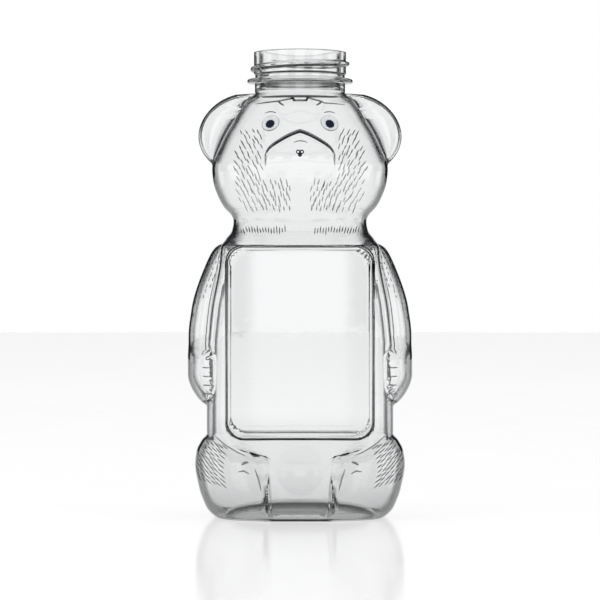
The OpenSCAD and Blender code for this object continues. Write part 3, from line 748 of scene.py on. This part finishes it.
def floor_finish(rgb):
    """Pale polished board that reads white, keeps a soft shadow and mirrors the bottle faintly."""
    material, tree = new_material("pale polished board")
    smear = noise(tree, add_node(tree, "TexCoord").outputs["Object"], 18.0)
    board = add_node(tree, "BsdfPrincipled", {
        "Base Color": (*rgb, 1.0), "Roughness": spanned(tree, smear, 0.1, 0.16)})
    white = add_node(tree, "Emission")
    share = calculated(tree, "MULTIPLY", ray_is(tree, "Camera", "Glossy", "Transmission"), FLOOR_WHITE)
    surface = mixed_shader(tree, share, board.outputs["BSDF"], white.outputs["Emission"])
    add_node(tree, "OutputMaterial", {"Surface": surface})
    return material


def studio_world():
    """White to the eye. Plastic sees white boards round it, with dark gaps between and above."""
    world = bpy.data.worlds.new("studio")
    bpy.context.scene.world = world
    world.use_nodes = True
    tree = world.node_tree
    tree.nodes.clear()
    white = (1.0, 1.0, 1.0, 1.0)
    view = add_node(tree, "SeparateXYZ", {"Vector": add_node(tree, "TexCoord").outputs["Generated"]})
    turn = calculated(tree, "ARCTAN2", view.outputs["Y"], view.outputs["X"])
    wave = calculated(tree, "COSINE", calculated(tree, "MULTIPLY", turn, BOARD_COUNT))
    below_top = graded(tree, view.outputs["Z"], *BOARD_TOP_FADE, 1.0, 0.0)
    lit = calculated(tree, "MULTIPLY", graded(tree, wave, *BOARD_FADE), below_top)
    boards = add_node(tree, "Background", {"Color": spanned(tree, lit, GAP_LEVEL, 1.0)})
    room = add_node(tree, "Background", {"Color": white, "Strength": ROOM_LEVEL})
    backdrop = add_node(tree, "Background", {"Color": white})
    glass = ray_is(tree, "Glossy", "Transmission")
    around = mixed_shader(tree, glass, room.outputs["Background"], boards.outputs["Background"])
    surface = mixed_shader(tree, ray_is(tree, "Camera"), around, backdrop.outputs["Background"])
    add_node(tree, "OutputWorld", {"Surface": surface})


def sizes():
    """The sizes set in the scene."""
    return bpy.context.scene.bear_bottle_sizes


def finish():
    """The colours and the camera's place set in the scene."""
    return bpy.context.scene.bear_bottle_finish


def skin_tree():
    """The faces of the moulding, for setting details on its outside."""
    mesh = bpy.data.objects["bottle_body"].data
    points = [v.co.copy() for v in mesh.vertices]
    return BVHTree.FromPolygons(points, [tuple(f.vertices) for f in mesh.polygons])


def on_skin(skin, x, z, rear=False):
    """Place and outward direction of the wall at x and z, seen from the front or the rear."""
    start = Vector((x * MM, (1 if rear else -1) * SEEK_FROM, z * MM))
    place, normal, _, _ = skin.ray_cast(start, Vector((0, -1 if rear else 1, 0)))
    if place is None:
        return None
    return np.array(place) / MM, np.array(normal)


class Relief:
    """Raised lines on the wall, gathered for one piece."""

    def __init__(self, skin):
        self.skin, self.points, self.faces = skin, [], []

    def ridge(self, path, normals, width, height, even):
        """A raised line with a lens-shaped section, which tapers to both ends unless it is even."""
        path, normals = np.asarray(path), np.asarray(normals)
        count, base = len(path), len(self.points)
        for i in range(count):
            along = path[min(i + 1, count - 1)] - path[max(i - 1, 0)]
            across = np.cross(along, normals[i])
            across /= max(np.linalg.norm(across), TINY)
            share = i / (count - 1)
            grow = 1.0 if even else max(RIDGE_TIP, math.sqrt(max(0.0, 1 - (2 * share - 1) ** 2)))
            self.points += [
                path[i] - across * width / 2 * grow, path[i] + normals[i] * height * grow,
                path[i] + across * width / 2 * grow, path[i] - normals[i] * RIDGE_SINK]
        end = base + 4 * (count - 1)
        for a in range(base, end, 4):
            self.faces += [(a + k, a + (k + 1) % 4, a + 4 + (k + 1) % 4, a + 4 + k) for k in range(4)]
        self.faces += [(base + 3, base + 2, base + 1, base), (end, end + 1, end + 2, end + 3)]

    def line(self, route, width, height, rear=False, even=False):
        """A ridge through places given as x and z, left out where one of them misses the wall."""
        seats = [on_skin(self.skin, x, z, rear) for x, z in route]
        if any(seat is None for seat in seats):
            return
        path, normals = zip(*seats)
        self.ridge(path, normals, width, height, even)

    def stroke(self, x, z, lean, reach, width, height):
        """A short straight stroke of fur, leaning by an angle from the upright."""
        dx, dz = math.sin(lean) * reach / 2, math.cos(lean) * reach / 2
        self.line([(x - dx * s, z - dz * s) for s in (-1, -0.4, 0.4, 1)], width, height)


def fine(route, steps):
    """A route with more points along its straight runs."""
    dense = []
    for (x0, z0), (x1, z1) in zip(route, route[1:]):
        dense += [(mix(x0, x1, k / steps), mix(z0, z1, k / steps)) for k in range(steps)]
    return dense + [route[-1]]


def on_side(side, route):
    """A route on the right, at side 1, or its mirror image on the left, at side -1."""
    return [(side * x, z) for x, z in route]


def arc(cx, cz, radius, start, end, steps=14):
    """A round route about a middle, between two angles in degrees."""
    turns = [math.radians(mix(start, end, k / steps)) for k in range(steps + 1)]
    return [(cx + radius * math.cos(t), cz + radius * math.sin(t)) for t in turns]


class BOTTLE_OT_body(bpy.types.Operator):
    """Build the moulding: one closed wall from the punt to the lip, with its thread"""
    bl_idname = "bear_bottle.body"
    bl_label = "Bottle Body"

    def execute(self, context):
        mould = Mould(sizes())
        rings = mould.rings()
        sides = len(rings[0])
        middles = np.array([[0, 0, mould.punt_h], [0, 0, mould.punt_h + mould.wall]])
        points = np.concatenate(rings + [middles])
        faces = []
        for i in range(len(rings) - 1):
            faces += band(i * sides, (i + 1) * sides, sides)
        low, high = len(points) - 2, len(points) - 1
        last = (len(rings) - 1) * sides
        faces += [(low, (j + 1) % sides, j) for j in range(sides)]
        faces += [(high, last + j, last + (j + 1) % sides) for j in range(sides)]
        plastic = clear_plastic("clear blown plastic", finish())
        body = new_piece("bottle_body", points, faces, plastic)
        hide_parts("neck_finish", "head_shell", "torso_shell", "base_shell")
        return {"FINISHED"}


class BOTTLE_OT_fur(bpy.types.Operator):
    """Raise the moulded strokes of fur on the cheeks, collar, arms and thighs"""
    bl_idname = "bear_bottle.fur"
    bl_label = "Moulded Fur"

    def execute(self, context):
        mould = Mould(sizes())
        # Painted shade: the plastic of the strokes turns dark almost from square on, so they read as dark
        # lines
        pressed = clear_plastic("pressed relief painted shade", finish())
        skin = skin_tree()
        draw = random.Random(7)
        groups = {
            "cheek_fur": self.cheeks, "collar_fur": self.collar,
            "arm_fur": self.arms, "thigh_fur": self.thighs,
        }
        for name, make in groups.items():
            relief = Relief(skin)
            make(mould, relief, draw)
            new_piece(name, relief.points, relief.faces, pressed)
        return {"FINISHED"}

    def cheeks(self, mould, relief, draw):
        """Slanted strokes in leaning rows beside the muzzle and over the jaw."""
        row_gap, stroke_gap, beside_muzzle, under_chin = 1.9, 2.0, 14.5, 4.0
        for side in (-1, 1):
            for row in range(16):
                z = mould.collar_z + 4 + row * row_gap
                outer = 0.8 * float(mould.half_width(z))
                inner = beside_muzzle if z > mould.chin_z + 2 else under_chin
                for k in range(int((outer - inner) / stroke_gap)):
                    x = inner + (k + 0.5 * (row % 2) + draw.uniform(-0.2, 0.2)) * stroke_gap
                    lean = side * math.radians(8 + 0.9 * x + draw.uniform(-8, 8))
                    relief.stroke(
                        side * x, z + draw.uniform(-0.5, 0.5), lean, draw.uniform(1.9, 3.4),
                        mould.stroke_w * draw.uniform(0.7, 1), mould.stroke_h)

    def collar(self, mould, relief, draw):
        """Upright strokes on the front of the collar, beside its middle."""
        for side in (-1, 1):
            for k in range(17):
                x = side * (5.5 + k * 1.02)
                lean = side * math.radians(2 + k + draw.uniform(-5, 5))
                z = mould.collar_z - 3.8 + draw.uniform(-0.5, 0.5)
                relief.stroke(x, z, lean, draw.uniform(2.0, 3.6), mould.stroke_w * 0.8, mould.stroke_h)

    def arms(self, mould, relief, draw):
        """Four columns of short dashes along the outer edge of the upper arms."""
        row_gap, column_gap = 2.15, 1.45
        for side in (-1, 1):
            for column in range(4):
                for k in range(13 - 2 * column):
                    z = mould.shoulder_z - 2.5 - k * row_gap - draw.uniform(0, 0.6)
                    edge = float(mould.half_width(z) + mould.arm_swell(np.float64(z)))
                    x = side * (edge - 0.9 - column * column_gap - draw.uniform(0, 0.4))
                    lean = side * math.radians(-22 + k + draw.uniform(-6, 6))
                    relief.stroke(x, z, lean, draw.uniform(1.1, 2.0), mould.stroke_w * 0.9, mould.stroke_h)

    def thighs(self, mould, relief, draw):
        """Diagonal strokes on the outside of the thighs."""
        gap, fall = 1.75, 0.35
        for side in (-1, 1):
            for row in range(9):
                for k in range(6):
                    z = mould.hip_z - 2.5 - row * gap - fall * k
                    edge = float(mould.half_width(z))
                    x = side * (edge - 1.2 - k * gap - draw.uniform(0, 0.5))
                    lean = side * math.radians(38 + 3 * k + draw.uniform(-5, 5))
                    relief.stroke(x, z, lean, draw.uniform(2.2, 3.6), mould.stroke_w * 0.9, mould.stroke_h)


class BOTTLE_OT_relief(bpy.types.Operator):
    """Raise the eyes, panel beads, fringe, brows, muzzle edge and the lines of the paws and feet"""
    bl_idname = "bear_bottle.relief"
    bl_label = "Moulded Relief"

    def execute(self, context):
        mould = Mould(sizes())
        # The same finish with painted shade, for the lines of the paws and feet
        pressed = bpy.data.materials["pressed relief painted shade"]
        # A clear finish that is dark nearly all over: painted shade for the reflection in the shelf, the
        # beads, the brows and the muzzle edge
        fold = clear_plastic("steep fold painted shade", finish())
        skin = skin_tree()
        self.eyes(mould, skin)
        makers = {
            "panel_beads": (self.beads, fold), "brow_lines": (self.brows, fold),
            "muzzle_edge": (self.muzzle_edge, fold), "finger_lines": (self.fingers, pressed),
            "toe_lines": (self.toes, pressed),
        }
        for name, (make, material) in makers.items():
            relief = Relief(skin)
            make(mould, relief)
            new_piece(name, relief.points, relief.faces, material)
        return {"FINISHED"}

    def eyes(self, mould, skin):
        """Low round bosses with a soft edge, which carry the printed pupils."""
        plastic = bpy.data.materials["clear blown plastic"]
        radius, proud, steps = mould.eye_d / 2, mould.eye_proud, 48
        # Share of the radius and share of the height, from the flat top to under the edge
        section = [(0.55, 0.99), (0.72, 0.9), (0.86, 0.62), (0.95, 0.3), (1.0, -0.2)]
        for side, name in ((-1, "left_eye_boss"), (1, "right_eye_boss")):
            place, normal = on_skin(skin, side * mould.eye_gap / 2, mould.eye_z)
            across, up = face_axes(normal)
            points = [place + normal * proud]
            for share, rise in section:
                for k in range(steps):
                    t = 2 * math.pi * k / steps
                    points.append(place + (across * math.cos(t) + up * math.sin(t)) * radius * share
                                  + normal * proud * rise)
            points.append(place - normal * proud)
            faces = [(0, 1 + k, 1 + (k + 1) % steps) for k in range(steps)]
            for i in range(len(section) - 1):
                faces += [f[::-1] for f in band(1 + i * steps, 1 + (i + 1) * steps, steps)]
            last = 1 + (len(section) - 1) * steps
            faces += [(len(points) - 1, last + (k + 1) % steps, last + k) for k in range(steps)]
            new_piece(name, points, faces, plastic, smooth=False)

    def beads(self, mould, relief):
        """A slim bead round each label panel, along the top of its step."""
        outset, width, height = 0.25, 1.3, 0.14
        half_w, half_h = mould.panel_w / 2 + outset, mould.panel_h / 2 + outset
        corner, middle = mould.panel_r + outset, mould.panel_mid_z
        route = []
        for turn, sx, sz in ((0, 1, 1), (90, -1, 1), (180, -1, -1), (270, 1, -1)):
            route += arc(sx * (half_w - corner), middle + sz * (half_h - corner), corner, turn, turn + 90, 12)
        route.append(route[0])
        for rear in (False, True):
            relief.line(fine(route, 3), width, height, rear, even=True)

    def brows(self, mould, relief):
        """Ragged fringe over the face, brow ticks, eyelids and the arc over the nose."""
        top, eye_x, eye_z = mould.neck_z - 4.2, mould.eye_gap / 2, mould.eye_z
        fringe = [
            (-17, top - 0.6), (-12.8, top - 0.2), (-7.9, top + 0.2), (-2.4, top + 1.3), (-2.4, top + 0.4),
            (2.4, top + 0.4), (2.8, top + 1.5), (7.9, top + 0.1), (9, top - 0.5), (17, top - 0.8)]
        relief.line(fine(fringe, 4), 0.9, 0.35)
        tick = [(8.1, eye_z + 8.2), (7.2, eye_z + 7.4), (5.9, eye_z + 6.5)]
        for side in (-1, 1):
            relief.line(fine(on_side(side, tick), 3), 0.7, 0.3)
            relief.line(arc(side * eye_x, eye_z, 4.3, 60, 120), 0.5, 0.25)
        relief.line(arc(0.2, mould.nose_z - 0.8, 5.2, 60, 120), 0.5, 0.16)

    def muzzle_edge(self, mould, relief):
        """The sharp roll of the shelf over the muzzle."""
        half = mould.muzzle_w / 2
        for lift, width in ((0.35, 1.0), (1.1, 0.7)):
            edge = [
                (u * half, mould.peak_z + lift - float(mould.muzzle_drop(abs(u))))
                for u in np.linspace(-0.97, 0.97, 41)]
            relief.line(edge, width, 0.3)

    def fingers(self, mould, relief):
        """Lines between the fingers of the paws, with hooked claws at their inner ends."""
        end_z, paw_x, finger_gap = mould.paw_end_z, 36.2, 3.25
        end = [(34.9, end_z + 2.6), (33.9, end_z + 1.6), (33.0, end_z + 2.6)]
        for side in (-1, 1):
            for k in range(4):
                x, z = paw_x - 0.1 * k, mould.palm_z + 3.4 - k * finger_gap
                line = [(x, z), (x - 1.8, z - 0.1), (x - 3.4, z)]
                hook = [
                    (x - 3.3, z), (x - 4.0, z - 0.6), (x - 3.5, z - 1.4),
                    (x - 2.8, z - 1.9), (x - 3.3, z - 2.5)]
                relief.line(fine(on_side(side, line), 3), 0.5, 0.22)
                relief.line(fine(on_side(side, hook), 3), 0.5, 0.24)
            relief.line(fine(on_side(side, end), 3), 0.6, 0.24)

    def toes(self, mould, relief):
        """Claws on the feet and the folds beside them."""
        # Steps, width and height of each line, and its route
        claw = (4, 0.8, 0.3, [(21.4, 20.8), (20.4, 21.6), (18.8, 22.0)])
        fold = (5, 0.5, 0.22, [(22.8, 18.3), (20.6, 18.7), (18.6, 17.6)])
        inner = (5, 0.6, 0.22, [(16.5, 19.4), (15.2, 15.6), (14.2, 11.4)])
        crease = (5, 0.5, 0.2, [(31.8, 31.6), (28.6, 28.9), (26.7, 27.5), (22.9, 25.3), (20.1, 24.2)])
        for side in (-1, 1):
            for steps, width, height, route in (claw, fold, inner, crease):
                relief.line(fine(on_side(side, route), steps), width, height)


def face_axes(normal):
    """Two directions along the wall: across and up."""
    across = np.cross(np.array([0.0, 0.0, 1.0]), normal)
    across /= np.linalg.norm(across)
    return across, np.cross(normal, across)


def ink_slab(outlines, place, normal, thickness):
    """Closed slabs of ink over rings of flat places: each outline is (outer, inner or None)."""
    across, up = face_axes(normal)
    points, faces = [], []
    for outer, inner in outlines:
        base, count = len(points), len(outer)
        loops = [outer] if inner is None else [outer, inner]
        for lift in (0.0, thickness):
            for loop in loops:
                points += [place + across * x + up * z + normal * lift for x, z in loop]
        if inner is None:
            faces.append([base + k for k in range(count)][::-1])
            faces.append([base + count + k for k in range(count)])
            faces += band(base, base + count, count)
        else:
            low_in, top_out, top_in = base + count, base + 2 * count, base + 3 * count
            for first, second in ((base, top_out), (top_out, top_in), (top_in, low_in), (low_in, base)):
                faces += band(first, second, count)
    return points, faces


class BOTTLE_OT_prints(bpy.types.Operator):
    """Print the two pupils and the nose"""
    bl_idname = "bear_bottle.prints"
    bl_label = "Printed Face"

    def execute(self, context):
        mould = Mould(sizes())
        look = finish()
        skin = skin_tree()
        pupil_ink = printed_ink("pupil ink", look.pupil)
        nose_ink = printed_ink("nose ink", look.nose)
        for side, name in ((-1, "left_pupil"), (1, "right_pupil")):
            place, normal = on_skin(skin, side * mould.eye_gap / 2, mould.eye_z)
            _, up = face_axes(normal)
            seat = place + normal * mould.eye_proud - up * mould.pupil_drop
            points, faces = ink_slab([(self.toothed(mould.pupil_d / 2, 10), None)], seat, normal, mould.ink_t)
            piece = new_piece(name + "_print", points, faces, pupil_ink, smooth=False)
            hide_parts(name)
        place, normal = on_skin(skin, 0.0, mould.nose_z)
        points, faces = ink_slab(self.nose(mould.nose_print_w), place, normal, mould.ink_t)
        piece = new_piece("nose_mark", points, faces, nose_ink, smooth=False)
        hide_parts("nose_print")
        return {"FINISHED"}

    def toothed(self, radius, teeth):
        """A round outline with short pointed teeth, as the print has."""
        steps, root, rise = 8, 0.86, 0.2
        outline = []
        for k in range(teeth * steps):
            t = 2 * math.pi * k / (teeth * steps)
            tooth = abs(k % steps - steps / 2) / (steps / 2)
            reach = radius * (root + rise * tooth)
            outline.append((reach * math.cos(t), reach * math.sin(t)))
        return outline

    def nose(self, width):
        """Two round nostrils over a small solid tip."""
        # The lobes lie 0.8 of their radius off the middle, and so are 3.6 radii wide together
        lobe, steps = width / 3.6, 40
        turns = [2 * math.pi * k / steps for k in range(steps)]
        shapes = []
        for side in (-1, 1):
            middle_x, middle_z = side * lobe * 0.8, lobe / 3
            outer = [(middle_x + lobe * math.cos(t), middle_z + lobe * math.sin(t)) for t in turns]
            inner = [(middle_x + side * lobe * 0.05 + lobe * 0.45 * math.cos(t),
                      middle_z + lobe * 0.45 * math.sin(t)) for t in turns]
            shapes.append((outer, inner))
        tip = [(lobe * 0.9 * math.cos(t), -lobe + lobe * 0.9 * math.sin(t)) for t in turns]
        return shapes + [(tip, None)]


class BOTTLE_OT_stage(bpy.types.Operator):
    """Set the floor, the white studio, the soft lamps and the level camera"""
    bl_idname = "bear_bottle.stage"
    bl_label = "Stage"

    def execute(self, context):
        look = finish()
        scene = context.scene
        self.floor(scene, look)
        studio_world()
        for name, (place, size, power) in LAMPS.items():
            self.lamp(scene, name, place, size, power)
        self.camera(scene, look)
        scene.view_settings.view_transform = "Standard"
        return {"FINISHED"}

    def floor(self, scene, look):
        """A wide board just under the standing face."""
        mesh = bpy.data.meshes.new("floor")
        corners = [(sx * FLOOR_HALF, sy * FLOOR_HALF, 0) for sx, sy in ((-1, -1), (1, -1), (1, 1), (-1, 1))]
        mesh.from_pydata(corners, [], [(0, 1, 2, 3)])
        mesh.materials.append(floor_finish(look.floor))
        floor = bpy.data.objects.new("floor", mesh)
        floor.location.z = -FLOOR_DROP
        scene.collection.objects.link(floor)

    def lamp(self, scene, name, place, size, power):
        """A soft square lamp that neither shows in the plastic nor through it."""
        data = bpy.data.lights.new(name, "AREA")
        data.size = size
        data.energy = power
        lamp = bpy.data.objects.new(name, data)
        lamp.location = place
        lamp.visible_glossy = False
        lamp.visible_transmission = False
        lamp.rotation_euler = (Vector(LAMP_AIM) - Vector(place)).to_track_quat("-Z", "Y").to_euler()
        scene.collection.objects.link(lamp)

    def camera(self, scene, look):
        """Level camera in front. The picture is wide at the axis by the frame width."""
        data = bpy.data.cameras.new("camera")
        data.sensor_fit = "HORIZONTAL"
        data.sensor_width = 36.0
        data.lens = data.sensor_width * look.camera_distance / look.frame_width
        camera = bpy.data.objects.new("camera", data)
        camera.location = (0, -look.camera_distance, look.camera_height)
        camera.rotation_euler = (math.pi / 2, 0, 0)
        scene.collection.objects.link(camera)
        scene.camera = camera


OPERATORS = (BOTTLE_OT_body, BOTTLE_OT_fur, BOTTLE_OT_relief, BOTTLE_OT_prints, BOTTLE_OT_stage)


class BOTTLE_PT_panel(bpy.types.Panel):
    """Lists the sizes, the finish and the steps"""
    bl_idname = "BOTTLE_PT_panel"
    bl_label = "Bear Bottle"
    bl_space_type = "VIEW_3D"
    bl_region_type = "UI"
    bl_category = "Bear Bottle"

    def draw(self, context):
        for group, settings in ((BottleSizes, sizes()), (BottleFinish, finish())):
            box = self.layout.box()
            for name in group.__annotations__:
                box.prop(settings, name)
        for operator in OPERATORS:
            self.layout.operator(operator.bl_idname)


CLASSES = (BottleSizes, BottleFinish, *OPERATORS, BOTTLE_PT_panel)


def register():
    for cls in CLASSES:
        bpy.utils.register_class(cls)
    bpy.types.Scene.bear_bottle_sizes = bpy.props.PointerProperty(type=BottleSizes)
    bpy.types.Scene.bear_bottle_finish = bpy.props.PointerProperty(type=BottleFinish)


def unregister():
    del bpy.types.Scene.bear_bottle_finish
    del bpy.types.Scene.bear_bottle_sizes
    for cls in reversed(CLASSES):
        bpy.utils.unregister_class(cls)


def main():
    register()
    bpy.ops.bear_bottle.body()
    bpy.ops.bear_bottle.fur()
    bpy.ops.bear_bottle.relief()
    bpy.ops.bear_bottle.prints()
    bpy.ops.bear_bottle.stage()
    bpy.context.view_layer.update()


if __name__ == "__main__":
    main()
